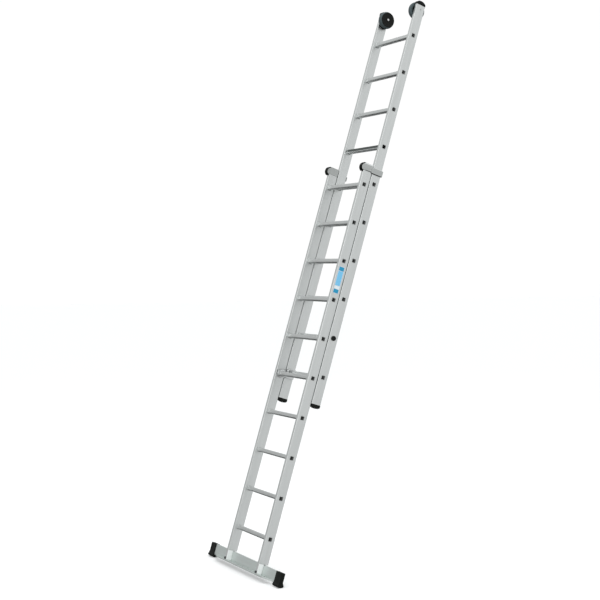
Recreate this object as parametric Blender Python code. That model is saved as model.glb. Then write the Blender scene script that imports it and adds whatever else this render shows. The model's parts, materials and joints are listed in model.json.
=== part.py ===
"""Two-section aluminium push-up extension ladder, leaning in its working position.

Everything is laid out in a leaning ladder frame: x runs along the rungs to the ladder's
right, y from the climber's side towards the wall, and z up along the stiles.  Its origin is
on the centre line of the lowest rung, in the plane of the lower section's front face.  The
empty lower_section carries that frame; upper_section rides on it, raised by four rungs.
"""
import math

import bmesh
import bpy
from mathutils import Vector

# --- driving dimensions, metres -------------------------------------------------------------
LEAN = math.radians(17.2)      # stiles from the vertical
PITCH = 0.280                  # rung to rung
RUNGS = 10                     # in each section
WIDTH = 0.488                  # over the stiles
STILE_W = 0.025
STILE_D = 0.0725
STILE_WALL = 0.002
STILE_CORNER = 0.004
SECTION_GAP = 0.005            # between the two sections
RUNG = 0.030                   # square tube
RUNG_WALL = 0.002
RUNG_CORNER = 0.005
FIT = 0.0003                   # clearance between neighbouring pieces

RAISED_RUNGS = 4               # upper rung 1 stands behind lower rung 5
HOOK_RISE = 0.0258             # upper rungs above the lower rungs that the hooks rest on
LOWER_FOOT = -0.171            # lower stile ends, from the centre line of rung 1
LOWER_TOP = 2.6175
UPPER_FOOT = -0.1903           # upper stile ends, from the centre line of upper rung 1
UPPER_TOP = 2.7497
ROLLER_BACK = 0.0035           # wall roller axis behind the middle of the stile
ROLLER_UP = 2.7182             # and above upper rung 1

# --- stabiliser bar and its feet ------------------------------------------------------------
BAR_SHIFT = -0.028             # bar centre from the ladder's centre
BAR_REACH = 0.5265             # half length over the feet
BAR_TOP = -0.1735
BAR_FLANGE_TOP = -0.2385
BAR_BOTTOM = -0.250
BAR_FRONT = 0.0400
BAR_BACK = 0.0615
FOOT_LENGTH = 0.0745
FOOT_SKIN = 0.0035
SOLE_CENTRE = (0.0495, -0.236)
SOLE_RADIUS = 0.0345
SOLE_FLAT = math.radians(9)    # half angle of the flat facet the foot stands on
BOLT_DROP = -0.229             # cross bolt that holds the stile shoe to the bar

# --- guide brackets, hooks, rollers -----------------------------------------------------------
BRACKET_BOTTOM = 2.618
BRACKET_TOP = 2.672
NOSE_CENTRE = (0.0091, 2.638)
NOSE_SEAT = 0.0288
NOSE_RADIUS = 0.0352
STRAP = (2.6145, 2.6555)
HOOK_PLANE = (0.2066, 0.2124)  # hook plate, distance from the ladder's centre
LATCH_PLANE = (0.2010, 0.2061)
SPRING_PLANE = (0.1952, 0.2002)
PIN = (0.076, 0.0082)          # latch pivot, from upper rung 1
TYRE_RADIUS = 0.0625
CAP_RADIUS = 0.0515
HUB_RADIUS = 0.0455
MOUNT_PLATE = 0.005            # plastic plate on the inner face that carries a roller
MOUNT_TIP = 2.6535             # its rounded lower end, from upper rung 1
MOUNT_HALF = 0.0327            # half its width
LABEL = (0.0115, 0.0585, 1.726, 1.919)

INNER = WIDTH / 2 - STILE_W                    # inner face of a stile
UPPER_Y = STILE_D + SECTION_GAP                # front face of the upper section
RUNG_Y = STILE_D / 2
STILE_X = WIDTH / 2 - STILE_W / 2
ROLLER_AXIS = (UPPER_Y + RUNG_Y + ROLLER_BACK, ROLLER_UP)
SIDES = (("left", -1), ("right", 1))

MATERIALS = {
    "aluminium": ((0.56, 0.57, 0.57), 0.38, 1.0),
    "bright_aluminium": ((0.78, 0.80, 0.80), 0.22, 1.0),
    "zinc_steel": ((0.62, 0.63, 0.62), 0.30, 1.0),
    "spring_steel": ((0.18, 0.18, 0.19), 0.35, 1.0),
    "black_rubber": ((0.012, 0.013, 0.012), 0.60, 0.0),
    "black_plastic": ((0.015, 0.016, 0.016), 0.40, 0.0),
    "grey_rubber": ((0.22, 0.25, 0.27), 0.55, 0.0),
    "blue_film": ((0.05, 0.22, 0.55), 0.30, 0.0),
}


# --- scene helpers ----------------------------------------------------------------------------
def clear_scene():
    for old in list(bpy.data.objects):
        bpy.data.objects.remove(old, do_unlink=True)


def make_collection(name):
    new = bpy.data.collections.new(name)
    bpy.context.scene.collection.children.link(new)
    return new


def make_material(name):
    colour, roughness, metallic = MATERIALS[name]
    mat = bpy.data.materials.get(name) or bpy.data.materials.new(name)
    mat.use_nodes = True
    shader = mat.node_tree.nodes["Principled BSDF"]
    shader.inputs["Base Color"].default_value = (*colour, 1.0)
    shader.inputs["Roughness"].default_value = roughness
    shader.inputs["Metallic"].default_value = metallic
    mat.diffuse_color = (*colour, 1.0)
    return mat


def add_empty(name, parent, location, tilt=0.0):
    empty = bpy.data.objects.new(name, None)
    LADDER.objects.link(empty)
    empty.parent = parent
    empty.location = location
    empty.rotation_euler = (tilt, 0.0, 0.0)
    empty.empty_display_size = 0.05
    return empty


def add_part(name, mesh, material, parent, location=(0.0, 0.0, 0.0)):
    part = bpy.data.objects.new(name, mesh)
    mesh.name = name
    mesh.materials.clear()
    mesh.materials.append(make_material(material))
    LADDER.objects.link(part)
    part.parent = parent
    part.location = location
    return part


# --- outlines: lists of 2-D points, anticlockwise ---------------------------------------------
def arc(centre, radius, start, end, steps):
    """Points on a circle from start to end, degrees."""
    points = []
    for i in range(steps + 1):
        angle = math.radians(start + (end - start) * i / steps)
        points.append((centre[0] + radius * math.cos(angle), centre[1] + radius * math.sin(angle)))
    return points


def rounded_box(x0, x1, y0, y1, radius, steps=2):
    corners = (((x1 - radius, y1 - radius), 0), ((x0 + radius, y1 - radius), 90),
               ((x0 + radius, y0 + radius), 180), ((x1 - radius, y0 + radius), 270))
    points = []
    for centre, start in corners:
        points += arc(centre, radius, start, start + 90, steps)
    return points


def square(size, radius, steps=2, centre=(0.0, 0.0)):
    half = size / 2
    return rounded_box(centre[0] - half, centre[0] + half, centre[1] - half, centre[1] + half,
                       radius, steps)


def disc(centre, radius, steps=24):
    return arc(centre, radius, 0, 360 - 360 / steps, steps - 1)


def ribbon(path, widths):
    """Closed outline of a bar of changing width that follows path, with a rounded far end."""
    left, right = [], []
    for i, point in enumerate(path):
        before = Vector(path[max(i - 1, 0)])
        after = Vector(path[min(i + 1, len(path) - 1)])
        along = (after - before).normalized()
        across = Vector((-along.y, along.x)) * widths[i] / 2
        left.append(tuple(Vector(point) + across))
        right.append(tuple(Vector(point) - across))
    tip = Vector(path[-1]) + along * widths[-1] * 0.4
    return right + [tuple(tip)] + left[::-1]


# --- solids -------------------------------------------------------------------------------------
def place(axis, along, p, q):
    """3-D point of an outline point (p, q) at distance along an axis."""
    return {"x": (along, p, q), "y": (p, along, q), "z": (p, q, along)}[axis]


def finish_mesh(bm):
    bmesh.ops.recalc_face_normals(bm, faces=bm.faces[:])
    mesh = bpy.data.meshes.new("part")
    bm.to_mesh(mesh)
    bm.free()
    return mesh


def loft(rings, bore=None):
    """Solid through rings of equal point count; bore is a list of rings for an open tube."""
    bm = bmesh.new()
    outer = [[bm.verts.new(p) for p in ring] for ring in rings]
    inner = [[bm.verts.new(p) for p in ring] for ring in bore or []]
    count = len(rings[0])
    for wall in (outer, inner):
        for a, b in zip(wall, wall[1:]):
            for i in range(count):
                j = (i + 1) % count
                bm.faces.new((a[i], a[j], b[j], b[i]))
    for end in (0, -1):
        if inner:
            for i in range(count):
                j = (i + 1) % count
                bm.faces.new((outer[end][i], outer[end][j], inner[end][j], inner[end][i]))
        else:
            bm.faces.new(outer[end])
    return finish_mesh(bm)


def extrude(outline, axis, start, end, hollow=None):
    rings = [[place(axis, s, *p) for p in outline] for s in (start, end)]
    bore = [[place(axis, s, *p) for p in hollow] for s in (start, end)] if hollow else None
    return loft(rings, bore)


def lathe(profile, steps=32):
    """Turned solid about the x axis; profile is a closed loop of (x, radius)."""
    bm = bmesh.new()
    rows = []
    for x, radius in profile:
        if radius < 1e-9:
            rows.append([bm.verts.new((x, 0.0, 0.0))] * steps)
            continue
        turn = [2 * math.pi * i / steps for i in range(steps)]
        rows.append([bm.verts.new((x, radius * math.cos(t), radius * math.sin(t))) for t in turn])
    for a, b in zip(rows, rows[1:] + rows[:1]):
        for i in range(steps):
            j = (i + 1) % steps
            corners = list(dict.fromkeys((a[i], a[j], b[j], b[i])))
            if len(corners) > 2:
                bm.faces.new(corners)
    return finish_mesh(bm)


def wire(path, radius, sides=6):
    """Round wire along a 3-D path, closed at both ends."""
    points = [Vector(p) for p in path]
    side = Vector((1.0, 0.0, 0.0))
    rings = []
    for i, point in enumerate(points):
        along = (points[min(i + 1, len(points) - 1)] - points[max(i - 1, 0)]).normalized()
        side = (side - along * side.dot(along)).normalized()
        other = along.cross(side)
        ring = []
        for k in range(sides):
            turn = 2 * math.pi * k / sides
            ring.append(point + side * radius * math.cos(turn) + other * radius * math.sin(turn))
        rings.append(ring)
    return loft(rings)


def boolean(mesh, other, operation):
    """Exact Boolean of two meshes; the second one stays behind as a wire cutter."""
    body = bpy.data.objects.new("work", mesh)
    tool = bpy.data.objects.new("cutter", other)
    LADDER.objects.link(body)
    CUTTERS.objects.link(tool)
    tool.hide_render = True
    tool.display_type = "WIRE"
    step = body.modifiers.new("step", "BOOLEAN")
    step.object = tool
    step.operation = operation
    step.solver = "EXACT"
    bpy.context.view_layer.update()
    graph = bpy.context.evaluated_depsgraph_get()
    result = bpy.data.meshes.new_from_object(body.evaluated_get(graph))
    bpy.data.objects.remove(body, do_unlink=True)
    bpy.data.objects.remove(tool, do_unlink=True)
    bm = bmesh.new()
    bm.from_mesh(result)
    bmesh.ops.remove_doubles(bm, verts=bm.verts[:], dist=1e-6)
    bmesh.ops.dissolve_limit(bm, angle_limit=math.radians(0.1), verts=bm.verts[:],
                             edges=bm.edges[:])
    bm.to_mesh(result)
    bm.free()
    return result


def cut(mesh, other):
    return boolean(mesh, other, "DIFFERENCE")


def fuse(mesh, *others):
    for other in others:
        mesh = boolean(mesh, other, "UNION")
    return mesh


def merge(meshes):
    """Several separate solids in one mesh, to cut with in one go."""
    bm = bmesh.new()
    for mesh in meshes:
        bm.from_mesh(mesh)
    return finish_mesh(bm)


def mirrored(side, start, end):
    """x range of a piece given on the right-hand side."""
    return (start, end) if side > 0 else (-end, -start)


def block(side, x, y, z):
    """Plain box on the given side; x is measured outwards from the ladder's centre."""
    x0, x1 = mirrored(side, *x)
    outline = [(y[0], z[0]), (y[1], z[0]), (y[1], z[1]), (y[0], z[1])]
    return extrude(outline, "x", x0, x1)


def rod(centre, radius, side, start, end, steps=16):
    x0, x1 = mirrored(side, start, end)
    return extrude(disc(centre, radius, steps), "x", x0, x1)


# --- stiles and rungs ---------------------------------------------------------------------------
def stile_mesh(side, foot, top, front, extra_cuts=()):
    """Hollow rounded box, with a square hole through both walls for every rung."""
    x0, x1 = mirrored(side, INNER, WIDTH / 2)
    outer = rounded_box(x0, x1, front, front + STILE_D, STILE_CORNER)
    inner = rounded_box(x0 + STILE_WALL, x1 - STILE_WALL, front + STILE_WALL,
                        front + STILE_D - STILE_WALL, STILE_CORNER - STILE_WALL)
    mesh = extrude(outer, "z", foot, top, inner)
    holes = []
    for i in range(RUNGS):
        centre = (front + RUNG_Y, i * PITCH)
        hole = square(RUNG + 2 * FIT, RUNG_CORNER + FIT, centre=centre)
        holes.append(extrude(hole, "x", x0 - 0.01, x1 + 0.01))
    return cut(mesh, merge(holes + list(extra_cuts)))


def rung_mesh():
    """Square tube through both stiles, with a swaged collar against each inner face."""
    half = [(WIDTH / 2, 0.0), (INNER - FIT, 0.0), (INNER - FIT, 0.0025), (INNER - 0.006, 0.0)]
    stations = half + [(-x, grow) for x, grow in reversed(half)]
    rings = []
    for x, grow in stations:
        rings.append([(x, *p) for p in square(RUNG + 2 * grow, RUNG_CORNER + grow)])
    bore = square(RUNG - 2 * RUNG_WALL, RUNG_CORNER - RUNG_WALL)
    ends = [[(x, *p) for p in bore] for x in (WIDTH / 2, -WIDTH / 2)]
    return loft(rings, ends)


def build_rungs(prefix, frame, front):
    for i in range(RUNGS):
        name = f"{prefix}_rung_{i + 1:02d}"
        add_part(name, rung_mesh(), "aluminium", frame, (0.0, front + RUNG_Y, i * PITCH))


# --- lower section ------------------------------------------------------------------------------
def bar_outline(grow=0.0, flange=True):
    """Upright web with a flange running forward under the stiles."""
    web = [(BAR_BACK + grow, BAR_BOTTOM - grow), (BAR_BACK + grow, BAR_TOP + grow),
           (BAR_FRONT - grow, BAR_TOP + grow)]
    if flange:
        return web + [(BAR_FRONT, BAR_FLANGE_TOP), (0.0, BAR_FLANGE_TOP), (0.0, BAR_BOTTOM)]
    return web + [(BAR_FRONT - grow, BAR_BOTTOM - grow)]


def bar_hollow():
    wall = 0.002
    return [(BAR_BACK - wall, BAR_BOTTOM + wall), (BAR_BACK - wall, BAR_TOP - wall),
            (BAR_FRONT + wall, BAR_TOP - wall), (BAR_FRONT + wall, BAR_FLANGE_TOP - wall),
            (wall, BAR_FLANGE_TOP - wall), (wall, BAR_BOTTOM + wall)]


def build_bar():
    half = BAR_REACH - 0.008
    bar = extrude(bar_outline(), "x", BAR_SHIFT - half, BAR_SHIFT + half, bar_hollow())
    notches = []
    for _, side in SIDES:
        end = BAR_SHIFT * side + half
        notches.append(block(side, (end - FOOT_LENGTH + 0.007, end + 0.01),
                             (-0.01, BAR_FRONT + 0.0001), (BAR_BOTTOM - 0.01, BAR_TOP - 0.02)))
        drill = disc((side * STILE_X, BOLT_DROP), 0.0045, 12)
        notches.append(extrude(drill, "y", BAR_FRONT - 0.01, BAR_BACK + 0.01))
    add_part("stabiliser_bar", cut(bar, merge(notches)), "aluminium", LOWER)


def foot_outline():
    """Rubber foot seen from its end: a sleeve round the web that swells into a curved sole."""
    front_face, back_face, rise = BAR_FRONT - FOOT_SKIN, BAR_BACK + FOOT_SKIN, BAR_TOP + 0.0015
    down = -90 + math.degrees(LEAN)
    flat = math.degrees(SOLE_FLAT)
    sole = arc(SOLE_CENTRE, SOLE_RADIUS, down - 50, down - flat, 4)
    sole += arc(SOLE_CENTRE, SOLE_RADIUS, down + flat, down + 34, 3)
    front = [(front_face, rise), (front_face, -0.232), (0.0345, -0.2455), (0.0292, -0.2570)]
    back = [(0.0735, -0.2495), (back_face, -0.235), (back_face, rise)]
    return front + sole + back


def build_bar_feet():
    for label, side in SIDES:
        outer = BAR_SHIFT * side + BAR_REACH
        x0, x1 = mirrored(side, outer - FOOT_LENGTH, outer)
        foot = extrude(foot_outline(), "x", x0, x1)
        pocket = mirrored(side, outer - FOOT_LENGTH - 0.01, outer - 0.008 + FIT)
        socket = extrude(bar_outline(FIT, flange=False), "x", *pocket)
        add_part(f"bar_foot_{label}", cut(foot, socket), "black_rubber", LOWER)


def build_shoes():
    """Bright shoe under each lower stile, bolted through its depth to the bar."""
    for label, side in SIDES:
        shoe = block(side, (INNER + FIT, WIDTH / 2 - FIT), (0.0005, BAR_FRONT - FIT),
                     (BAR_FLANGE_TOP + FIT, LOWER_FOOT - FIT))
        spigot = block(side, (INNER + 0.0025, WIDTH / 2 - 0.0025), (0.003, BAR_FRONT - 0.004),
                       (LOWER_FOOT - 0.010, LOWER_FOOT + 0.045))
        centre = (side * STILE_X, BOLT_DROP)
        drill = extrude(disc(centre, 0.0045, 12), "y", -0.01, BAR_FRONT + 0.01)
        add_part(f"stile_shoe_{label}", cut(fuse(shoe, spigot), drill), "bright_aluminium", LOWER)
        shank = extrude(disc(centre, 0.004, 12), "y", -0.003, BAR_BACK + 0.0115)
        head = extrude(disc(centre, 0.0085, 12), "y", -0.0065, 0.0005 - FIT)
        add_part(f"shoe_bolt_{label}", fuse(head, shank), "black_plastic", LOWER)
        nut = extrude(disc(centre, 0.0080, 6), "y", BAR_BACK + FIT, BAR_BACK + 0.0068)
        hole = extrude(disc(centre, 0.0043, 12), "y", BAR_BACK - 0.01, BAR_BACK + 0.02)
        add_part(f"shoe_nut_{label}", cut(nut, hole), "zinc_steel", LOWER)


def build_guide_brackets():
    """Block capping each lower stile, with a strap that runs round the upper stile."""
    seat = arc(NOSE_CENTRE, NOSE_SEAT, 107, 223.9, 8)
    profile = [(STILE_D, BRACKET_BOTTOM), (STILE_D, BRACKET_TOP - 0.006),
               (STILE_D - 0.006, BRACKET_TOP), (0.001, BRACKET_TOP)] + seat
    outside = WIDTH / 2 + 0.0065
    for label, side in SIDES:
        cap = extrude(profile, "x", *mirrored(side, INNER, WIDTH / 2 + 0.003))
        strap = block(side, (WIDTH / 2 + 0.0015, outside), (0.066, 0.158), STRAP)
        lip = block(side, (WIDTH / 2 - 0.022, outside - 0.001),
                    (UPPER_Y + STILE_D + 0.0035, 0.1575), (STRAP[0] - 0.0015, STRAP[1] - 0.010))
        spigot = block(side, (INNER + 0.0025, WIDTH / 2 - 0.0025), (0.003, STILE_D - 0.003),
                       (LOWER_TOP - 0.040, LOWER_TOP + 0.010))
        bracket = fuse(cap, strap, lip, spigot)
        add_part(f"guide_bracket_{label}", bracket, "aluminium", LOWER)
        nose = arc(NOSE_CENTRE, NOSE_RADIUS, 104, 246, 9)
        nose += arc(NOSE_CENTRE, NOSE_SEAT + FIT, 246, 108, 9)
        bumper = extrude(nose, "x", *mirrored(side, INNER - 0.001, WIDTH / 2 + 0.004))
        add_part(f"bracket_bumper_{label}", bumper, "black_rubber", LOWER)


def build_label():
    outline = rounded_box(*LABEL, 0.004)
    sheet = extrude(outline, "x", WIDTH / 2 + 0.0002, WIDTH / 2 + 0.0007)
    add_part("rating_label", sheet, "blue_film", LOWER)


# --- upper section (z measured from its own lowest rung) --------------------------------------
def build_upper_feet():
    front, back = UPPER_Y - 0.0003, UPPER_Y + STILE_D + 0.0003
    outline = [(front, UPPER_FOOT - FIT), (front, -0.206), (front + 0.010, -0.2140),
               (front + 0.026, -0.2185), (front + 0.046, -0.2193), (front + 0.062, -0.2165),
               (back, -0.2085), (back, UPPER_FOOT - FIT)]
    for label, side in SIDES:
        cap = extrude(outline, "x", *mirrored(side, INNER, WIDTH / 2))
        plug = block(side, (INNER + 0.0025, WIDTH / 2 - 0.0025),
                     (UPPER_Y + 0.003, UPPER_Y + STILE_D - 0.003),
                     (UPPER_FOOT - 0.008, UPPER_FOOT + 0.035))
        add_part(f"upper_foot_{label}", fuse(cap, plug), "black_rubber", UPPER)


def build_stop_plugs():
    """Buttons in the ends of upper rung 2 that meet the guide straps at full reach."""
    centre = (UPPER_Y + RUNG_Y, PITCH)
    for label, side in SIDES:
        button = rod(centre, 0.017, side, WIDTH / 2 + FIT, WIDTH / 2 + 0.0075, 24)
        stem = rod(centre, 0.0115, side, WIDTH / 2 - 0.020, WIDTH / 2 + 0.002, 16)
        add_part(f"stop_plug_{label}", fuse(button, stem), "black_plastic", UPPER)


def hook_outline():
    """Plate that reaches over the lower rung, its top edge level when the ladder leans."""
    rung_top = -HOOK_RISE + RUNG / 2
    slot_front = RUNG_Y - RUNG / 2 - 0.0015
    slot_back = RUNG_Y + RUNG / 2 + 0.0015
    front = slot_front - 0.0117
    top_back = (0.122, 0.030)
    return [(front, top_back[1] - math.tan(LEAN) * (top_back[0] - front)), (front, -0.030),
            (front + 0.004, -0.034), (slot_front, -0.034), (slot_front, rung_top + 0.0005),
            (slot_back, rung_top + 0.0005), (slot_back, -0.026), (0.085, -0.046),
            (0.146, -0.046), (0.146, 0.026), (0.142, 0.030), top_back]


def build_hooks():
    around = square(0.0365, 0.005, centre=(UPPER_Y + RUNG_Y, 0.0))
    for label, side in SIDES:
        plate = extrude(hook_outline(), "x", *mirrored(side, *HOOK_PLANE))
        stand = (HOOK_PLANE[1] - 0.001, INNER - FIT)
        pads = [block(side, stand, (0.0800, 0.0925), (-0.043, 0.012)),
                block(side, stand, (0.1345, 0.1455), (-0.043, 0.026))]
        window = extrude(around, "x", *mirrored(side, 0.19, INNER + 0.01))
        pivot = rod(PIN, 0.0042, side, 0.19, INNER + 0.01, 12)
        hook = cut(fuse(plate, *pads), merge([window, pivot]))
        add_part(f"rung_hook_{label}", hook, "zinc_steel", UPPER)
        head = rod(PIN, 0.0065, side, SPRING_PLANE[0] - 0.0034, SPRING_PLANE[0] - 0.0006, 16)
        shank = rod(PIN, 0.0038, side, SPRING_PLANE[0] - 0.002, HOOK_PLANE[1] + 0.001, 12)
        add_part(f"latch_pin_{label}", fuse(head, shank), "bright_aluminium", UPPER)


def spring_path(side):
    """Coil round the latch pin, with a straight leg forward and a shorter one to the rear."""
    radius, turns, steps = 0.0085, 2, 12
    level = Vector((0.0, math.cos(LEAN), math.sin(LEAN)))
    first = math.degrees(LEAN) - 90
    points = []
    for i in range(turns * steps + 1):
        angle = math.radians(first + 360 * i / steps)
        x = SPRING_PLANE[1] - 0.001 - (SPRING_PLANE[1] - SPRING_PLANE[0] - 0.002) * i / turns / steps
        points.append(Vector((side * x, PIN[0] + radius * math.cos(angle),
                              PIN[1] + radius * math.sin(angle))))
    return [points[0] - level * 0.026] + points + [points[-1] + level * 0.014]


def build_springs():
    for label, side in SIDES:
        add_part(f"latch_spring_{label}", wire(spring_path(side), 0.0009), "spring_steel", UPPER)


def build_latches():
    """Lever hanging from the pin, hooked forward under the lower rung against lifting."""
    path = [(0.0, 0.0), (-0.005, -0.026), (-0.0085, -0.046), (-0.0145, -0.0545),
            (-0.0250, -0.0580), (-0.0400, -0.0575), (-0.0530, -0.0545)]
    widths = (0.012, 0.009, 0.0085, 0.008, 0.007, 0.006, 0.005)
    for label, side in SIDES:
        axis = add_empty(f"latch_axis_{label}", UPPER, (0.0, *PIN))
        arm = extrude(ribbon(path, widths), "x", *mirrored(side, *LATCH_PLANE))
        eye = rod((0.0, 0.0), 0.010, side, *LATCH_PLANE, 20)
        bore = rod((0.0, 0.0), 0.0042, side, LATCH_PLANE[0] - 0.01, LATCH_PLANE[1] + 0.01, 12)
        add_part(f"rung_latch_{label}", cut(fuse(arm, eye), bore), "zinc_steel", axis)


def mount_mesh(side):
    """Plastic end cap of an upper stile, with the plate down the inner face."""
    front, back, top = UPPER_Y, UPPER_Y + STILE_D, UPPER_TOP + FIT
    crown = [(back, top), (back, 2.7572), (back - 0.0015, 2.7632), (back - 0.006, 2.7682),
             (back - 0.014, 2.7737), (back - 0.026, 2.7780), (back - 0.040, 2.7800),
             (back - 0.054, 2.7790), (front + 0.0085, 2.7752), (front + 0.0025, 2.7707),
             (front, 2.7652), (front, top)]
    cap = extrude(crown, "x", *mirrored(side, INNER - MOUNT_PLATE, WIDTH / 2))
    centre = (front + 0.0397, MOUNT_TIP + MOUNT_HALF)
    tongue = arc(centre, MOUNT_HALF, 180, 360, 12)
    tongue += [(centre[0] + MOUNT_HALF, top + 0.006), (centre[0] - MOUNT_HALF, top + 0.006)]
    plate = extrude(tongue, "x", *mirrored(side, INNER - MOUNT_PLATE, INNER - FIT))
    plug = block(side, (INNER + 0.0025, WIDTH / 2 - 0.0025), (front + 0.003, back - 0.003),
                 (UPPER_TOP - 0.0215, top + 0.006))
    return cut(fuse(cap, plate, plug), rod(ROLLER_AXIS, 0.0053, side, 0.19, INNER + 0.01, 16))


def build_rollers():
    """Wall rollers on the inner faces; x below is the distance in from the stile."""
    for label, side in SIDES:
        axis = add_empty(f"roller_axis_{label}", UPPER, (0.0, *ROLLER_AXIS))

        def turned(profile):
            return lathe([(side * (INNER - x), radius) for x, radius in profile])

        hub = [(0.0056, 0.0056), (0.0056, 0.036), (0.0076, 0.038), (0.0110, 0.038),
               (0.0110, HUB_RADIUS), (0.0435, HUB_RADIUS), (0.0435, 0.0056)]
        seat = HUB_RADIUS + FIT
        tyre = [(0.0105, seat), (0.0105, 0.0560), (0.0130, 0.0602), (0.0190, 0.0622),
                (0.0290, TYRE_RADIUS), (0.0370, 0.0612), (0.0435, 0.0580), (0.0458, 0.0545),
                (0.0458, CAP_RADIUS + 0.0005), (0.0436, seat)]
        cap = [(0.0438, 0.0056), (0.0438, HUB_RADIUS), (0.0465, CAP_RADIUS - 0.0001),
               (0.0488, CAP_RADIUS - 0.0012), (0.0497, 0.0470), (0.0480, 0.030), (0.0480, 0.014),
               (0.0500, 0.012), (0.0500, 0.0056)]
        add_part(f"roller_hub_{label}", turned(hub), "black_plastic", axis)
        add_part(f"roller_tyre_{label}", turned(tyre), "grey_rubber", axis)
        add_part(f"roller_cap_{label}", turned(cap), "black_plastic", axis)
        bolt = [(-STILE_W + 0.0005, 0.0), (-STILE_W + 0.0005, 0.0050), (0.0505, 0.0050),
                (0.0505, 0.0085), (0.0535, 0.0080), (0.0550, 0.0055), (0.0555, 0.0)]
        add_part(f"roller_bolt_{label}", turned(bolt), "zinc_steel", UPPER, axis.location)
        add_part(f"roller_mount_{label}", mount_mesh(side), "black_plastic", UPPER)


def axle_cuts(side):
    """Hole for the roller bolt through both walls of an upper stile."""
    return [rod(ROLLER_AXIS, 0.0053, side, INNER - 0.01, WIDTH / 2 + 0.01, 16)]


# --- assembly -----------------------------------------------------------------------------------
def sole_contact():
    """Where the flat facet of a foot touches the floor, in the ladder frame."""
    depth = SOLE_RADIUS * math.cos(SOLE_FLAT)
    return (SOLE_CENTRE[0] + depth * math.sin(LEAN), SOLE_CENTRE[1] - depth * math.cos(LEAN))


clear_scene()
LADDER = make_collection("extension_ladder")
CUTTERS = make_collection("cutters")

contact_y, contact_z = sole_contact()
frame_y = -(contact_y * math.cos(LEAN) + contact_z * math.sin(LEAN))
frame_z = contact_y * math.sin(LEAN) - contact_z * math.cos(LEAN)
LOWER = add_empty("lower_section", None, (0.0, frame_y, frame_z), -LEAN)
UPPER = add_empty("upper_section", LOWER, (0.0, 0.0, RAISED_RUNGS * PITCH + HOOK_RISE))

for label, side in SIDES:
    stile = stile_mesh(side, LOWER_FOOT, LOWER_TOP, 0.0)
    add_part(f"lower_stile_{label}", stile, "aluminium", LOWER)
    stile = stile_mesh(side, UPPER_FOOT, UPPER_TOP, UPPER_Y, axle_cuts(side))
    add_part(f"upper_stile_{label}", stile, "aluminium", UPPER)
build_rungs("lower", LOWER, 0.0)
build_rungs("upper", UPPER, UPPER_Y)
build_bar()
build_bar_feet()
build_shoes()
build_guide_brackets()
build_label()
build_upper_feet()
build_stop_plugs()
build_hooks()
build_springs()
build_latches()
build_rollers()
bpy.context.view_layer.update()
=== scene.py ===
"""Looks of the two-section extension ladder: finishes, refined pieces, floor, lights, camera.

Every piece is drawn in the leaning ladder frame of its section (x along the rungs, y from the
climber to the wall, z up the stiles) and then set in place; the finishes turn the same way, so
that their grain runs along the metal.
"""
import json
import math

import bmesh
import bpy
from mathutils import Matrix, Vector

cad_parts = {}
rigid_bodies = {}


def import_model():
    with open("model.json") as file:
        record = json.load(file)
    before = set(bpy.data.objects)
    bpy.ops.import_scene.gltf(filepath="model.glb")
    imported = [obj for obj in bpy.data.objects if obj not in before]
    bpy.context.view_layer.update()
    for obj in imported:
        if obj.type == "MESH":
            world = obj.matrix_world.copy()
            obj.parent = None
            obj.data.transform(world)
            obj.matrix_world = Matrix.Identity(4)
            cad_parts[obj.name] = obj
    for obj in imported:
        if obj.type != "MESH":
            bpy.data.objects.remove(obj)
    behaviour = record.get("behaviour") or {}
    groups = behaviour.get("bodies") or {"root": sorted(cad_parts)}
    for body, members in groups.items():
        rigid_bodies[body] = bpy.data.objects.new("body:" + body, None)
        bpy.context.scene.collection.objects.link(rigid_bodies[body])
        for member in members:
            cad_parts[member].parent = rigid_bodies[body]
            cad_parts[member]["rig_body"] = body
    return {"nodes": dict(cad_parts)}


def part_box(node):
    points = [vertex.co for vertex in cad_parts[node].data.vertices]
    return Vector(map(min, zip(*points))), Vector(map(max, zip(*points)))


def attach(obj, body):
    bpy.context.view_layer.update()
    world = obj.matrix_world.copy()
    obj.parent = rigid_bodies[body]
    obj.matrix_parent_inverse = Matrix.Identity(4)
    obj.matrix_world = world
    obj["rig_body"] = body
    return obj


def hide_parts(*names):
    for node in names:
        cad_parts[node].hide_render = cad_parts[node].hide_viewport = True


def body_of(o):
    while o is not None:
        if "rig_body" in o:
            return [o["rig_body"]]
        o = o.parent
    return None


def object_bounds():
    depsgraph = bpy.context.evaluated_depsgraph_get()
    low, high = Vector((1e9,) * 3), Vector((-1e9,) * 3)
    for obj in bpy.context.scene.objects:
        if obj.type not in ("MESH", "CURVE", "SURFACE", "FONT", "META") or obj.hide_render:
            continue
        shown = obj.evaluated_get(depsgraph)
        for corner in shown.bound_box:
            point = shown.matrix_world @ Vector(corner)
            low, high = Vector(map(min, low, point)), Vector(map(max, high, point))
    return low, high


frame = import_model()
cad_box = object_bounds()
nodes = frame["nodes"]
SIDES = (("left", -1), ("right", 1))


# --- ladder frames, from the rungs ------------------------------------------------------------
def middle(node):
    """Middle of a node's box."""
    low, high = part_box(node)
    return (low + high) / 2


along = (middle("lower_rung_10") - middle("lower_rung_01")).normalized()
across = Vector((1.0, 0.0, 0.0))
inward = along.cross(across)
LEAN = math.atan2(along.y, along.z)


def section_frame(first_rung):
    """Axes of a section, with the origin in the middle of its lowest rung."""
    place = Matrix((across, inward, along)).transposed().to_4x4()
    place.translation = middle(first_rung)
    return place


LOWER = section_frame("lower_rung_01")
UPPER = section_frame("upper_rung_01")


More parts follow.
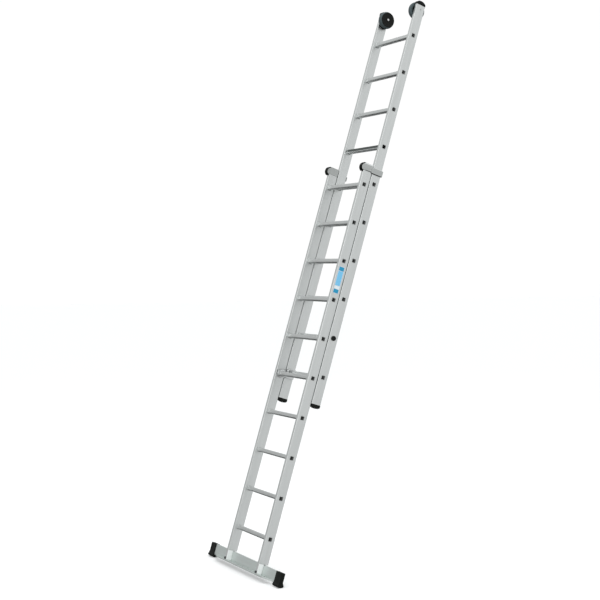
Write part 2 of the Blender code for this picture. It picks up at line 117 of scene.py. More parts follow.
def local_mesh(node, base):
    """The node's own shape in a section's frame, cleaned to plain faces."""
    mesh = nodes[node].data.copy()
    mesh.transform(base.inverted())
    bm = bmesh.new()
    bm.from_mesh(mesh)
    bmesh.ops.remove_doubles(bm, verts=bm.verts[:], dist=1e-5)
    bmesh.ops.dissolve_limit(bm, angle_limit=math.radians(0.6), verts=bm.verts[:],
                             edges=bm.edges[:])
    bmesh.ops.recalc_face_normals(bm, faces=bm.faces[:])
    bm.to_mesh(mesh)
    bm.free()
    return mesh


def local_box(node, base):
    """Lowest and highest corner of a node in a section's frame."""
    turn = base.inverted()
    points = [turn @ v.co for v in nodes[node].data.vertices]
    low = Vector([min(p[i] for p in points) for i in range(3)])
    high = Vector([max(p[i] for p in points) for i in range(3)])
    return low, high


# --- node helpers -----------------------------------------------------------------------------
NOISE_SPAN = (0.3, 0.7)      # nearly all values of a noise lie in here


class Paint:
    """A procedural material, built node by node."""

    def __init__(self, name, colour, roughness, metallic=0.0, specular=0.5):
        self.mat = bpy.data.materials.new(name)
        self.mat.use_nodes = True
        self.tree = self.mat.node_tree
        self.shader = self.tree.nodes["Principled BSDF"]
        self.shader.inputs["Base Color"].default_value = (*colour, 1.0)
        self.shader.inputs["Roughness"].default_value = roughness
        self.shader.inputs["Metallic"].default_value = metallic
        self.shader.inputs["Specular IOR Level"].default_value = specular
        self.mat.diffuse_color = (*colour, 1.0)
        coords = self.tree.nodes.new("ShaderNodeTexCoord")
        upright = self.tree.nodes.new("ShaderNodeMapping")
        upright.inputs["Rotation"].default_value = (LEAN, 0.0, 0.0)
        self.link(coords.outputs["Object"], upright.inputs["Vector"])
        self.coords = upright.outputs["Vector"]

    def link(self, a, b):
        self.tree.links.new(a, b)

    def noise(self, stretch, scale, detail=3.0, rough=0.55):
        """Noise in the ladder's own directions, its axes scaled by stretch."""
        spread = self.tree.nodes.new("ShaderNodeMapping")
        spread.inputs["Scale"].default_value = stretch
        self.link(self.coords, spread.inputs["Vector"])
        tex = self.tree.nodes.new("ShaderNodeTexNoise")
        tex.inputs["Scale"].default_value = scale
        tex.inputs["Detail"].default_value = detail
        tex.inputs["Roughness"].default_value = rough
        self.link(spread.outputs["Vector"], tex.inputs["Vector"])
        return tex.outputs["Fac"]

    def remap(self, value, low, high):
        """Noise spread over low to high."""
        node = self.tree.nodes.new("ShaderNodeMapRange")
        node.inputs["From Min"].default_value, node.inputs["From Max"].default_value = NOISE_SPAN
        node.inputs["To Min"].default_value = low
        node.inputs["To Max"].default_value = high
        self.link(value, node.inputs["Value"])
        return node.outputs["Result"]

    def math(self, kind, a, b):
        node = self.tree.nodes.new("ShaderNodeMath")
        node.operation = kind
        for socket, value in zip(node.inputs, (a, b)):
            if isinstance(value, (int, float)):
                socket.default_value = value
            else:
                self.link(value, socket)
        return node.outputs["Value"]

    def ramp(self, value, stops):
        node = self.tree.nodes.new("ShaderNodeValToRGB")
        ramp = node.color_ramp
        while len(ramp.elements) < len(stops):
            ramp.elements.new(0.5)
        for element, (at, colour) in zip(ramp.elements, stops):
            element.position = at
            element.color = (*colour, 1.0)
        self.link(value, node.inputs["Fac"])
        return node.outputs["Color"]

    def bump(self, value, strength, distance):
        node = self.tree.nodes.new("ShaderNodeBump")
        node.inputs["Strength"].default_value = strength
        node.inputs["Distance"].default_value = distance
        self.link(value, node.inputs["Height"])
        self.link(node.outputs["Normal"], self.shader.inputs["Normal"])

    def colour(self, value, stops):
        self.link(self.ramp(value, stops), self.shader.inputs["Base Color"])

    def roughness(self, value):
        self.link(value, self.shader.inputs["Roughness"])


def shade(colour, factor):
    """A colour made darker or lighter."""
    return tuple(min(1.0, c * factor) for c in colour)


def metal(name, colour, rough, grain, contrast=0.06, spread=0.08, bump=0.12, level=1.0):
    """Drawn or brushed metal; grain is 'x', 'y' or 'z', the way its fine lines run.

    contrast and spread say how far its colour and roughness vary, level how metallic it is.
    """
    paint = Paint(name, colour, rough, level)
    fine = {"x": (9.0, 900.0, 900.0), "y": (900.0, 9.0, 900.0), "z": (900.0, 900.0, 9.0)}[grain]
    wide = {"x": (1.2, 14.0, 14.0), "y": (14.0, 1.2, 14.0), "z": (14.0, 14.0, 1.2)}[grain]
    lines = paint.noise(fine, 1.0, 2.0)
    smears = paint.noise(wide, 3.0, 4.0, 0.6)
    specks = paint.noise((1.0, 1.0, 1.0), 160.0, 2.0)
    tone = paint.math("ADD", paint.math("MULTIPLY", lines, 0.35),
                      paint.math("MULTIPLY", smears, 0.65))
    paint.colour(tone, [(0.34, shade(colour, 1 - contrast)), (0.5, colour),
                        (0.68, shade(colour, 1 + contrast))])
    wear = paint.math("ADD", paint.math("MULTIPLY", smears, 0.7),
                      paint.math("MULTIPLY", specks, 0.3))
    paint.roughness(paint.remap(wear, rough - spread, rough + spread))
    paint.bump(lines, bump, 0.0002)
    return paint.mat


def moulded(name, colour, rough, grain=420.0, bump=0.25, spread=0.10, dust=0.5, specular=0.5):
    """Moulded rubber or plastic with a fine skin, slightly dusty patches and varied gloss.

    grain is how fine the skin is, dust how much paler its patches are.
    """
    paint = Paint(name, colour, rough, 0.0, specular)
    skin = paint.noise((1.0, 1.0, 1.0), grain, 2.0)
    patches = paint.noise((1.0, 1.0, 1.0), 26.0, 4.0, 0.6)
    tone = paint.math("ADD", paint.math("MULTIPLY", skin, 0.3),
                      paint.math("MULTIPLY", patches, 0.7))
    paint.colour(tone, [(0.32, shade(colour, 1 - 0.4 * dust)), (0.52, colour),
                        (0.72, shade(colour, 1 + dust))])
    paint.roughness(paint.remap(patches, rough - spread, rough + spread))
    paint.bump(skin, bump, 0.0003)
    return paint.mat


STILE_METAL = metal("satin_aluminium_stile", (0.625, 0.640, 0.636), 0.38, "z")
RUNG_METAL = metal("satin_aluminium_rung", (0.625, 0.640, 0.636), 0.36, "x")
# darker, half-metallic copy of the rung metal for the inside of the tubes: painted shade in the
# bore
BORE_SHADE_METAL = metal("rung_bore_painted_shade", (0.34, 0.35, 0.345), 0.50, "x", contrast=0.10, bump=0.2,
                   level=0.5)
# dark metal that paints shade over the front of one upper rung
RUNG_SHADE_METAL = metal("rung_front_painted_shade", (0.10, 0.112, 0.108), 0.45, "x", contrast=0.12)
BAR_METAL = metal("satin_aluminium_bar", (0.630, 0.672, 0.656), 0.42, "x")
CAST_METAL = metal("cast_aluminium_bracket", (0.45, 0.465, 0.458), 0.40, "y", contrast=0.05,
                   spread=0.07, bump=0.2)
# lighter copy of the bracket metal for its upward faces: a painted highlight
BRACKET_HIGHLIGHT_METAL = metal("bracket_top_painted_highlight", (0.74, 0.755, 0.75), 0.34, "y", contrast=0.04)
BRIGHT_METAL = metal("bright_aluminium", (0.94, 0.96, 0.955), 0.30, "z", contrast=0.04,
                     level=0.25)
PIN_METAL = metal("bright_pin", (0.78, 0.79, 0.79), 0.25, "x", contrast=0.04)
ZINC = metal("zinc_plate", (0.60, 0.61, 0.61), 0.34, "z", contrast=0.10, spread=0.10, bump=0.08)
SPRING = metal("oiled_spring_wire", (0.16, 0.16, 0.17), 0.35, "x", contrast=0.10)
RUBBER = moulded("black_rubber_matt", (0.0045, 0.0056, 0.0044), 0.55, grain=500.0, bump=0.35,
                 specular=0.14)
PLASTIC = moulded("black_plastic_satin", (0.0035, 0.0045, 0.004), 0.40, grain=700.0, bump=0.15,
                  specular=0.16)
BOLT_BLACK = moulded("black_bolt_head", (0.040, 0.042, 0.042), 0.40, grain=600.0, bump=0.15)
TYRE = moulded("blue_grey_rubber", (0.066, 0.089, 0.095), 0.52, grain=380.0, bump=0.35,
               spread=0.08, dust=0.12, specular=0.3)


def film(name, colour):
    """Printed film: glossy, faintly mottled, with fine handling marks."""
    paint = Paint(name, colour, 0.30)
    mottle = paint.noise((1.0, 1.0, 1.0), 90.0, 3.0)
    marks = paint.noise((1.0, 260.0, 24.0), 1.0, 2.0)
    paint.colour(mottle, [(0.35, shade(colour, 0.93)), (0.65, shade(colour, 1.05))])
    paint.roughness(paint.remap(marks, 0.24, 0.40))
    paint.bump(mottle, 0.06, 0.0001)
    return paint.mat


FILM_PALE = film("label_film_pale", (0.66, 0.70, 0.74))
FILM_BLUE = film("label_film_blue", (0.004, 0.29, 0.52))
FILM_LIGHT = film("label_film_light_blue", (0.19, 0.56, 0.86))
FILM_WHITE = film("label_film_white", (0.78, 0.86, 0.90))


# --- pieces -------------------------------------------------------------------------------------
def sharpen(mesh, angle):
    """Smooth shading that stays sharp over edges steeper than angle."""
    bm = bmesh.new()
    bm.from_mesh(mesh)
    limit = math.radians(angle)
    for face in bm.faces:
        face.smooth = True
    for edge in bm.edges:
        turn = edge.calc_face_angle(math.pi) if len(edge.link_faces) == 2 else math.pi
        edge.smooth = turn < limit
    bm.to_mesh(mesh)
    bm.free()


def add_piece(name, mesh, base, body, slot, materials, *replaced, weighted=True):
    """Sets a mesh from a section's frame in place, on its body, for the nodes it replaces."""
    mesh.transform(base)
    piece = bpy.data.objects.new(name, mesh)
    mesh.name = name
    if mesh.materials:
        mesh.materials.clear()
    for material in materials:
        mesh.materials.append(material)
    bpy.context.scene.collection.objects.link(piece)
    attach(piece, body)
    if replaced:
        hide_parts(*replaced)
    if weighted:
        normals = piece.modifiers.new("weighted_normals", "WEIGHTED_NORMAL")
        normals.keep_sharp = True
    return piece


def refine(node, base, slot, material, bevel=0.0, angle=50.0, segments=2):
    """A CAD node's own shape with eased edges and clean shading."""
    mesh = local_mesh(node, base)
    if bevel:
        bm = bmesh.new()
        bm.from_mesh(mesh)
        limit = math.radians(32)
        edges = [e for e in bm.edges
                 if len(e.link_faces) == 2 and e.calc_face_angle(0.0) > limit]
        bmesh.ops.bevel(bm, geom=edges, offset=bevel, segments=segments, profile=0.5,
                        affect="EDGES", clamp_overlap=True)
        bmesh.ops.remove_doubles(bm, verts=bm.verts[:], dist=1e-6)
        bm.to_mesh(mesh)
        bm.free()
    sharpen(mesh, angle)
    body = body_of(nodes[node])[0]
    return add_piece(f"{node}_finish", mesh, base, body, slot, [material], node)


def build_mesh(bm):
    """Mesh from bm, which is freed; every face looks outwards."""
    bmesh.ops.recalc_face_normals(bm, faces=bm.faces[:])
    mesh = bpy.data.meshes.new("piece")
    bm.to_mesh(mesh)
    bm.free()
    return mesh


def bridge(bm, a, b):
    """Quads between two rings of equal point count."""
    faces = []
    for i in range(len(a)):
        j = (i + 1) % len(a)
        faces.append(bm.faces.new((a[i], a[j], b[j], b[i])))
    return faces


def add_loft(bm, rings):
    """Closed solid through rings of equal point count, added to bm."""
    rows = [[bm.verts.new(p) for p in ring] for ring in rings]
    for a, b in zip(rows, rows[1:]):
        bridge(bm, a, b)
    bm.faces.new(rows[0])
    bm.faces.new(rows[-1])


def hollow_loft(rings, bore):
    """Tube through rings of equal point count; the faces of its bore get the second material."""
    bm = bmesh.new()
    outer = [[bm.verts.new(p) for p in ring] for ring in rings]
    inner = [[bm.verts.new(p) for p in ring] for ring in bore]
    for a, b in zip(outer, outer[1:]):
        bridge(bm, a, b)
    for a, b in zip(inner, inner[1:]):
        for face in bridge(bm, a, b):
            face.material_index = 1
    for end in (0, -1):
        bridge(bm, outer[end], inner[end])
    return build_mesh(bm)


def lathe(profile, steps, centre):
    """Turned solid about the x axis through centre, given as (y, z)."""
    bm = bmesh.new()
    rows = []
    for x, radius in profile:
        if radius < 1e-6:      # the profile reaches the axis
            rows.append([bm.verts.new((x, centre[0], centre[1]))] * steps)
            continue
        ring = []
        for i in range(steps):
            turn = 2 * math.pi * i / steps
            ring.append(bm.verts.new((x, centre[0] + radius * math.cos(turn),
                                      centre[1] + radius * math.sin(turn))))
        rows.append(ring)
    for a, b in zip(rows, rows[1:] + rows[:1]):
        for i in range(steps):
            j = (i + 1) % steps
            corners = list(dict.fromkeys((a[i], a[j], b[j], b[i])))
            if len(corners) > 2:
                bm.faces.new(corners)
    return build_mesh(bm)


# --- rungs: square tube with a grooved tread, swaged against the stiles -----------------------
RUNG_HALF = local_box("lower_rung_01", LOWER)[1].x
STILE_IN = local_box("lower_stile_right", LOWER)[0].x
TUBE = 0.015            # half the width of a rung's square tube
WALL = 0.002
RUNGS = 10              # in each section
SHADED_RUNG = 7           # the upper rung with painted shade, a dark metal, over its front
SHADE_FROM = -0.0065     # height above the rung's middle where that painted shade starts
CORNER_STEP = 22.5      # degrees between the points of a rounded corner


def tube_outline(grow, groove, radius=0.005, half=TUBE, under=0.0):
    """Rounded square (y, z), grooved above and below for grip, with a line near each edge in
    front and behind; under makes its lower corners rounder.
    """
    points = []
    size = half + grow
    for quarter, (cy, cz) in enumerate(((1, 1), (-1, 1), (-1, -1), (1, -1))):
        r = (radius if quarter < 2 else radius + under) + grow
        for step in range(5):
            turn = math.radians(90 * quarter + CORNER_STEP * step)
            points.append((cy * (size - r) + r * math.cos(turn),
                           cz * (size - r) + r * math.sin(turn)))
        flat = size - radius - under - grow
        sign = 1 if quarter in (0, 3) else -1
        if quarter in (0, 2):          # top, then bottom: five grooves
            for k in range(5):
                mid = sign * (flat * 0.80 - k * flat * 0.40)
                for offset, depth in ((0.0011, 0), (0.0007, 1), (-0.0007, 1), (-0.0011, 0)):
                    points.append((mid + sign * offset, sign * (size - depth * groove)))
        else:                          # front, then back: one shallow line near each edge
            for mid in (0.72, -0.72):
                z = -sign * mid * flat
                for offset, depth in ((0.0006, 0), (0.0, 0.5), (-0.0006, 0)):
                    points.append((sign * (size - depth * groove), z - sign * offset))
    return points


def rung_mesh():
    """One rung; rows are (distance from the middle, swelling, depth of the grooves)."""
    half = [(RUNG_HALF, -0.0004, 0.0), (RUNG_HALF - 0.0005, 0.0, 0.0),
            (STILE_IN - 0.0003, 0.0, 0.0), (STILE_IN - 0.0004, 0.0018, 0.0),
            (STILE_IN - 0.0009, 0.0024, 0.0), (STILE_IN - 0.0018, 0.0025, 0.0),
            (STILE_IN - 0.0030, 0.0020, 0.0), (STILE_IN - 0.0042, 0.0011, 0.0),
            (STILE_IN - 0.0054, 0.0004, 0.0), (STILE_IN - 0.0068, 0.0, 0.0),
            (STILE_IN - 0.0100, 0.0, 0.00075)]
    stations = half + [(-x, grow, groove) for x, grow, groove in reversed(half)]
    rings = [[(x, *p) for p in tube_outline(grow, groove, under=6.0 * groove)]
             for x, grow, groove in stations]
    bore = tube_outline(0.0, 0.0, 0.003, TUBE - WALL)
    ends = [[(x, *p) for p in bore] for x in (RUNG_HALF, -RUNG_HALF)]
    mesh = hollow_loft(rings, ends)
    sharpen(mesh, 40)
    return mesh


def paint_front_shade(mesh):
    """One upper rung has painted shade, a dark metal, over its front above its lower edge."""
    for face in mesh.polygons:
        in_front = face.normal.y < -0.8 and abs(face.center.x) < STILE_IN
        if in_front and face.center.z > SHADE_FROM:
            face.material_index = 2


master = rung_mesh()
for section, base in (("lower", LOWER), ("upper", UPPER)):
    for number in range(1, RUNGS + 1):
        rung = f"{section}_rung_{number:02d}"
        tread = master.copy()
        place = base.copy()
        place.translation = middle(rung)
        if section == "upper" and number == SHADED_RUNG:
            paint_front_shade(tread)
        add_piece(f"{rung}_tread", tread, place, f"{section}_section", "aluminium",
                  [RUNG_METAL, BORE_SHADE_METAL, RUNG_SHADE_METAL], rung)


# --- guide brackets and stabiliser bar ----------------------------------------------------------
def eased_block(bm, low, high, radius, material=0):
    """Box with rounded edges, added to bm.

    It is bevelled apart from bm, because a bevel frees its old faces in an order that differs
    from run to run, and whatever bm gets next would take their places.
    """
    box = bmesh.new()
    bmesh.ops.create_cube(box, size=1.0)
    for v in box.verts:
        v.co = Vector([(low[i] + high[i]) / 2 + v.co[i] * (high[i] - low[i]) for i in range(3)])
    bmesh.ops.bevel(box, geom=box.edges[:], offset=radius, segments=3, profile=0.5,
                    affect="EDGES", clamp_overlap=True)
    for face in box.faces:
        face.material_index = material
    mesh = bpy.data.meshes.new("block")
    box.to_mesh(mesh)
    box.free()
    bm.from_mesh(mesh)
    bpy.data.meshes.remove(mesh)


def add_rivet(bm, side, face, centre):
    """Low domed rivet head standing on the outer face; centre is (y, z)."""
    rows = []
    for x, radius in ((face - 0.001, 0.0042), (face + 0.0002, 0.0042), (face + 0.0008, 0.0037),
                      (face + 0.0013, 0.0026), (face + 0.0016, 0.0012)):
        rows.append([(side * x, centre[0] + radius * math.cos(math.pi * i / 10),
                      centre[1] + radius * math.sin(math.pi * i / 10)) for i in range(20)])
    add_loft(bm, rows)


def build_bracket(label, side):
    """Guide block with a rolled upper edge, its strap and the lip behind the upper stile.

    Faces that look up the ladder get the second material, a lighter copy as painted highlight; the
    black strips under the strap and the block get the third, as painted shadow.
    """
    low, high = local_box(f"guide_bracket_{label}", LOWER)
    stile_low, stile_high = local_box(f"lower_stile_{label}", LOWER)
    rear, front, top = stile_high.y, stile_low.y, high.z
    bottom = top - 0.054                              # where the block ends on the stile
    nose, nose_radius = (front + 0.0091, top - 0.034), 0.0288
    edge = 0.006                                      # radius of the upper rear edge
    outer, inner = max(abs(low.x), abs(high.x)), STILE_IN
    cheek = outer - 0.0035

    def profile(drop, draw):
        """Side view (y, z), its top lowered by drop and its sides drawn in by draw."""
        points = [(rear - draw, bottom + draw), (rear - draw, top - edge - drop)]
        for step in range(5):
            turn = math.radians(CORNER_STEP * step)
            points.append((rear - edge + (edge - draw) * math.cos(turn),
                           top - edge + edge * math.sin(turn) - drop))
        points += [((rear + front) / 2, top - drop), (front + 0.010, top - drop),
                   (front + 0.002, top - 0.0008 - drop)]
        for step in range(17):
            turn = math.radians(106 + (223.5 - 106) * step / 16)
            reach = nose_radius - draw
            points.append((nose[0] + reach * math.cos(turn),
                           min(nose[1] + reach * math.sin(turn), top - 0.0012 - drop)))
        return points

    steps = ((inner, 0.0006, 0.0004), (inner + 0.0006, 0.0, 0.0), (cheek - 0.0052, 0.0, 0.0),
             (cheek - 0.0040, 0.0010, 0.0), (cheek - 0.0026, 0.0030, 0.0),
             (cheek - 0.0014, 0.0056, 0.0), (cheek - 0.0005, 0.0084, 0.0003),
             (cheek, 0.0098, 0.0010))
    bm = bmesh.new()
    add_loft(bm, [[(side * x, *p) for p in profile(drop, draw)] for x, drop, draw in steps])

    def span(a, b):
        return (min(side * a, side * b), max(side * a, side * b))

    def block(x, y, z, radius, material=0):
        eased_block(bm, (x[0], y[0], z[0]), (x[1], y[1], z[1]), radius, material)

    strap_low, strap_high = top - 0.0575, top - 0.0165
    block(span(outer - 0.0050, outer), (rear - 0.0065, high.y), (strap_low, strap_high),
          0.0022)                                                # strap
    block(span(outer - 0.0285, outer - 0.0008), (high.y - 0.0045, high.y - 0.0003),
          (strap_low - 0.0014, strap_high - 0.0100), 0.0014)     # lip behind the upper stile
    for height in (strap_low + 0.012, strap_high - 0.012):       # rivets that hold the strap
        add_rivet(bm, side, outer - 0.0035, (rear - 0.016, height))
    block(span(outer - 0.0048, outer - 0.0006), (rear - 0.0040, high.y - 0.0030),
          (strap_low - 0.0032, strap_low + 0.0006), 0.0008, 2)   # black strip under the strap: painted shadow
    block(span(inner + 0.0010, cheek + 0.0004), (front + 0.0160, rear - 0.0010),
          (bottom - 0.0006, bottom + 0.0022), 0.0006, 2)         # black band under the block on the stile: painted shadow
    bmesh.ops.recalc_face_normals(bm, faces=bm.faces[:])
    # faces that look up the ladder take the lighter copy: painted highlight
    for face in bm.faces:
        if face.material_index == 0 and face.normal.z > 0.15:
            face.material_index = 1
    mesh = build_mesh(bm)
    sharpen(mesh, 42)
    add_piece(f"guide_bracket_{label}_formed", mesh, LOWER, "lower_section", "aluminium",
              [CAST_METAL, BRACKET_HIGHLIGHT_METAL, PLASTIC], f"guide_bracket_{label}")


def build_bar():
    """Upright web with eased edges; the flange in front has tapered ends."""
    low, high = local_box("stabiliser_bar", LOWER)
    web = low.y + 0.040            # front face of the web
    bm = bmesh.new()
    eased_block(bm, (low.x, web, low.z), (high.x, high.y, high.z), 0.0012)
    top = low.z + 0.0115           # upper face of the flange
    middle_x, reach = (low.x + high.x) / 2, (high.x - low.x) / 2
    plan = [(-(reach - 0.083), web + 0.001), (-(reach - 0.100), web - 0.004),
            (-(reach - 0.172), low.y + 0.004), (-(reach - 0.180), low.y)]
    plan += [(-x, y) for x, y in reversed(plan)]
    rings = []
    for z, inset in ((low.z, 0.0008), (low.z + 0.0003, 0.0003), (low.z + 0.0010, 0.0),
                     (top - 0.0010, 0.0), (top - 0.0003, 0.0003), (top, 0.0008)):
        rings.append([(middle_x + x * (1 - inset / reach), max(y, low.y + inset), z)
                      for x, y in plan])
    add_loft(bm, rings)
    mesh = build_mesh(bm)
    sharpen(mesh, 42)
    add_piece("stabiliser_bar_formed", mesh, LOWER, "lower_section", "aluminium", [BAR_METAL],
              "stabiliser_bar")


# --- stiles, bar, shoes, brackets, hooks -------------------------------------------------------
for label, side in SIDES:
    refine(f"lower_stile_{label}", LOWER, "aluminium", STILE_METAL)
    refine(f"upper_stile_{label}", UPPER, "aluminium", STILE_METAL)
    shoe = refine(f"stile_shoe_{label}", LOWER, "bright_aluminium", BRIGHT_METAL, 0.0016,
                  segments=3)
    # the shoe's front gets a darker metal than its sides: painted shade on that face
    shoe.data.materials.append(STILE_METAL)
    for face in shoe.data.polygons:
        if face.normal.dot(inward) < -0.75:      # its front, towards the climber, in the darker stile metal: painted shade
            face.material_index = 1
    refine(f"shoe_bolt_{label}", LOWER, "black_plastic", BOLT_BLACK, 0.0012)
    refine(f"shoe_nut_{label}", LOWER, "zinc_steel", ZINC, 0.0005)
    build_bracket(label, side)
    refine(f"bracket_bumper_{label}", LOWER, "black_rubber", RUBBER, 0.0014, segments=3)
    refine(f"bar_foot_{label}", LOWER, "black_rubber", RUBBER, 0.0014, segments=3)
    refine(f"upper_foot_{label}", UPPER, "black_rubber", RUBBER, 0.0020, segments=3)
    refine(f"stop_plug_{label}", UPPER, "black_plastic", PLASTIC, 0.0014, segments=3)
    refine(f"rung_hook_{label}", UPPER, "zinc_steel", ZINC, 0.0007)
    refine(f"latch_pin_{label}", UPPER, "bright_aluminium", PIN_METAL, 0.0006)
    refine(f"latch_spring_{label}", UPPER, "spring_steel", SPRING, angle=70)
    refine(f"rung_latch_{label}", UPPER, "zinc_steel", ZINC, 0.0007)
    refine(f"roller_mount_{label}", UPPER, "black_plastic", PLASTIC, 0.0012)
    refine(f"roller_hub_{label}", UPPER, "black_plastic", PLASTIC, 0.0010)
build_bar()

# --- wall rollers ------------------------------------------------------------------------------
for label, side in SIDES:
    low, high = local_box(f"roller_tyre_{label}", UPPER)
    axis = ((low.y + high.y) / 2, (low.z + high.z) / 2)
    body = f"roller_{label}"

    def turned(profile, steps=72):
        """Profile rows are (distance from the stile's inner face, radius)."""
        mesh = lathe([(side * (STILE_IN - x), r) for x, r in profile], steps, axis)
        sharpen(mesh, 38)
        return mesh

    seat = 0.0458      # radius at which the tyre sits on its hub
    tyre = [(0.0105, seat), (0.0105, 0.0552), (0.0110, 0.0570), (0.0122, 0.0590),
            (0.0140, 0.0606), (0.0165, 0.0616), (0.0190, 0.0621), (0.0197, 0.0613),
            (0.0205, 0.0613), (0.0212, 0.0623), (0.0245, 0.0625), (0.0252, 0.0616),
            (0.0260, 0.0616), (0.0267, 0.0625), (0.0300, 0.0624), (0.0307, 0.0615),
            (0.0315, 0.0615), (0.0322, 0.0621), (0.0355, 0.0615), (0.0385, 0.0604),
            (0.0412, 0.0592), (0.0430, 0.0582), (0.0436, 0.0572), (0.0446, 0.0568),
            (0.0455, 0.0556), (0.0458, 0.0540), (0.0456, 0.0526), (0.0450, 0.0521),
            (0.0446, seat)]
    add_piece(f"roller_tyre_{label}_tread", turned(tyre, 96), UPPER, body, "grey_rubber",
              [TYRE], f"roller_tyre_{label}")
    cap = [(0.0446, 0.0056), (0.0446, 0.0450), (0.0456, 0.0490), (0.0464, 0.0508),
           (0.0464, 0.0532), (0.0472, 0.0545), (0.0482, 0.0545), (0.0490, 0.0534),
           (0.0495, 0.0510), (0.0496, 0.0480),
           (0.0488, 0.0456), (0.0483, 0.0440), (0.0481, 0.0330), (0.0486, 0.0322),
           (0.0486, 0.0306), (0.0480, 0.0298), (0.0479, 0.0160), (0.0484, 0.0142),
           (0.0494, 0.0130), (0.0499, 0.0116), (0.0499, 0.0056)]
    add_piece(f"roller_cap_{label}_turned", turned(cap), UPPER, body, "black_plastic",
              [PLASTIC], f"roller_cap_{label}")
    bolt = [(-0.0205, 0.0), (-0.0205, 0.0030), (-0.0245, 0.0032), (-0.0245, 0.0044),
            (-0.0241, 0.0050), (0.0500, 0.0050),
            (0.0500, 0.0083), (0.0508, 0.0084), (0.0509, 0.0074), (0.0540, 0.0073),
            (0.0546, 0.0062), (0.0546, 0.0042), (0.0551, 0.0036), (0.0554, 0.0)]
    add_piece(f"roller_bolt_{label}_turned", turned(bolt, 24), UPPER, "upper_section",
              "zinc_steel", [ZINC], f"roller_bolt_{label}")

# --- label: plain colour fields, no lettering ---------------------------------------------------
label_low, label_high = local_box("rating_label", LOWER)


def field(bm, y0, y1, z0, z1, lift, radius, index):
    """Thin rounded plate standing on the label, as one colour field."""
    outline = []
    for quarter, (cy, cz) in enumerate(((1, 1), (-1, 1), (-1, -1), (1, -1))):
        for step in range(5):
            turn = math.radians(90 * quarter + CORNER_STEP * step)
            y = (y0 + y1) / 2 + cy * ((y1 - y0) / 2 - radius)
            z = (z0 + z1) / 2 + cz * ((z1 - z0) / 2 - radius)
            outline.append((y + radius * math.cos(turn), z + radius * math.sin(turn)))
    rings = [[bm.verts.new((x, *p)) for p in outline] for x in (label_low.x, label_low.x + lift)]
    faces = [bm.faces.new(rings[0]), bm.faces.new(rings[1])]
    for face in faces + bridge(bm, *rings):
        face.material_index = index


MARGIN = 0.0035      # pale edge round the colour fields
bm = bmesh.new()
field(bm, label_low.y, label_high.y, label_low.z, label_high.z, 0.00030, 0.004, 0)
bottom, top = label_low.z + MARGIN, label_high.z - MARGIN
span = top - bottom
for start, end, film_index in ((bottom, bottom + 0.145 * span, 1),
                               (bottom + 0.165 * span, bottom + 0.265 * span, 3),
                               (bottom + 0.285 * span, bottom + 0.835 * span, 2),
                               (bottom + 0.850 * span, top, 1)):
    field(bm, label_low.y + MARGIN, label_high.y - MARGIN, start, end, 0.00045, 0.0015,
          film_index)
fields = build_mesh(bm)
sharpen(fields, 30)
add_piece("rating_label_fields", fields, LOWER, "lower_section", "blue_film",
          [FILM_PALE, FILM_BLUE, FILM_LIGHT, FILM_WHITE], "rating_label", weighted=False)

# --- floor, world, lights -----------------------------------------------------------------------
FLOOR_GLOW = 0.205      # lifts the floor to the white of the backdrop
BACKDROP = 1.02         # what the camera sees behind the ladder
SKY_SPAN = 1.2          # reach of height + SIDE_SHARE * x over the sky's ramp
SIDE_SHARE = 0.5
# places on that ramp, dark below and white above, with their greys
SKY = ((0.0, 0.005), (0.228, 0.012), (0.300, 0.62), (0.45, 0.655), (0.56, 0.87), (0.80, 0.97))

ground = Paint("pale_floor", (0.86, 0.865, 0.87), 0.75, specular=0.2)
cloud = ground.noise((1.0, 1.0, 1.0), 2.0, 4.0)
ground.colour(cloud, [(0.3, (0.855, 0.86, 0.865)), (0.7, (0.87, 0.875, 0.88))])
ground.shader.inputs["Emission Color"].default_value = (1.0, 1.0, 1.0, 1.0)
ground.shader.inputs["Emission Strength"].default_value = FLOOR_GLOW
bm = bmesh.new()
bmesh.ops.create_grid(bm, x_segments=1, y_segments=1, size=60.0)
floor_mesh = build_mesh(bm)
floor_mesh.materials.append(ground.mat)
floor = bpy.data.objects.new("floor", floor_mesh)
bpy.context.scene.collection.objects.link(floor)
floor.visible_glossy = False      # the sky's own ramp lights the ladder from below
floor.visible_diffuse = False

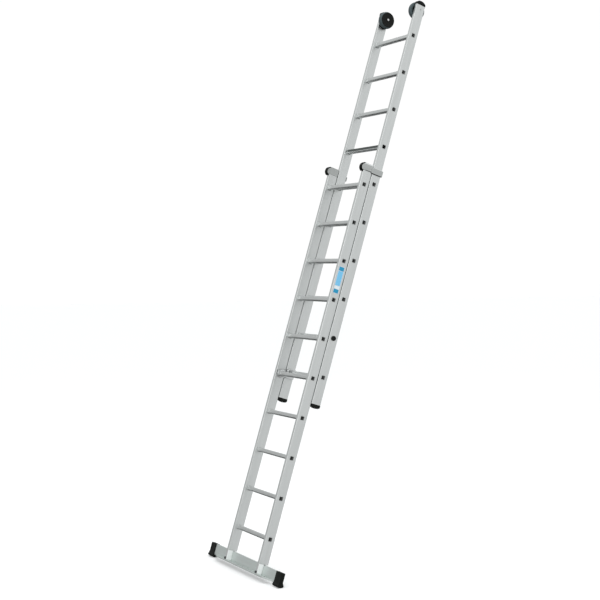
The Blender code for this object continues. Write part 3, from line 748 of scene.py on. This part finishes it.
world = bpy.data.worlds.new("studio")
world.use_nodes = True
bpy.context.scene.world = world
tree = world.node_tree
background = tree.nodes["Background"]
coords = tree.nodes.new("ShaderNodeTexCoord")
split = tree.nodes.new("ShaderNodeSeparateXYZ")
tree.links.new(coords.outputs["Generated"], split.inputs["Vector"])
lean_over = tree.nodes.new("ShaderNodeMath")      # brighter from above and from the right
lean_over.operation = "MULTIPLY_ADD"
lean_over.inputs[1].default_value = SIDE_SHARE
tree.links.new(split.outputs["X"], lean_over.inputs[0])
tree.links.new(split.outputs["Z"], lean_over.inputs[2])
height = tree.nodes.new("ShaderNodeMapRange")
height.inputs["From Min"].default_value = -SKY_SPAN
height.inputs["From Max"].default_value = SKY_SPAN
tree.links.new(lean_over.outputs["Value"], height.inputs["Value"])
sky = tree.nodes.new("ShaderNodeValToRGB")
while len(sky.color_ramp.elements) < len(SKY):
    sky.color_ramp.elements.new(0.5)
for element, (at, grey) in zip(sky.color_ramp.elements, SKY):
    element.position = at
    element.color = (grey * 0.985, grey, grey, 1.0)
tree.links.new(height.outputs["Result"], sky.inputs["Fac"])
eye = tree.nodes.new("ShaderNodeLightPath")
choose = tree.nodes.new("ShaderNodeMix")
choose.data_type = "RGBA"
choose.inputs["B"].default_value = (BACKDROP, BACKDROP, BACKDROP, 1.0)
tree.links.new(eye.outputs["Is Camera Ray"], choose.inputs["Factor"])
tree.links.new(sky.outputs["Color"], choose.inputs["A"])
tree.links.new(choose.outputs["Result"], background.inputs["Color"])
background.inputs["Strength"].default_value = 1.0


def softbox(name, location, target, size, power):
    data = bpy.data.lights.new(name, "AREA")
    data.shape = "RECTANGLE"
    data.size, data.size_y = size
    data.energy = power
    lamp = bpy.data.objects.new(name, data)
    bpy.context.scene.collection.objects.link(lamp)
    lamp.location = location
    lamp.rotation_euler = (target - location).to_track_quat("-Z", "Y").to_euler()


centre = (cad_box[0] + cad_box[1]) / 2
softbox("overhead", centre + Vector((0.5, 0.0, 5.5)), centre, (6.0, 6.0), 80.0)
softbox("key", centre + Vector((6.5, -4.5, 2.6)), centre, (4.0, 5.0), 110.0)

# --- camera --------------------------------------------------------------------------------------
# the photograph's viewing angle, in the ladder's own frame
VIEWPOINT = (7.4142, -3.8028, 2.0888)
VIEW_LINE = Vector((-0.86832, 0.49530, -0.02636))

lens = bpy.data.cameras.new("camera")
lens.lens = 73.09
lens.sensor_width = 36.0
lens.clip_start, lens.clip_end = 0.1, 200.0
camera = bpy.data.objects.new("camera", lens)
bpy.context.scene.collection.objects.link(camera)
camera.location = VIEWPOINT
camera.rotation_euler = VIEW_LINE.to_track_quat("-Z", "Y").to_euler()
bpy.context.scene.camera = camera
bpy.context.scene.view_settings.view_transform = "Standard"
bpy.context.scene.view_settings.look = "None"
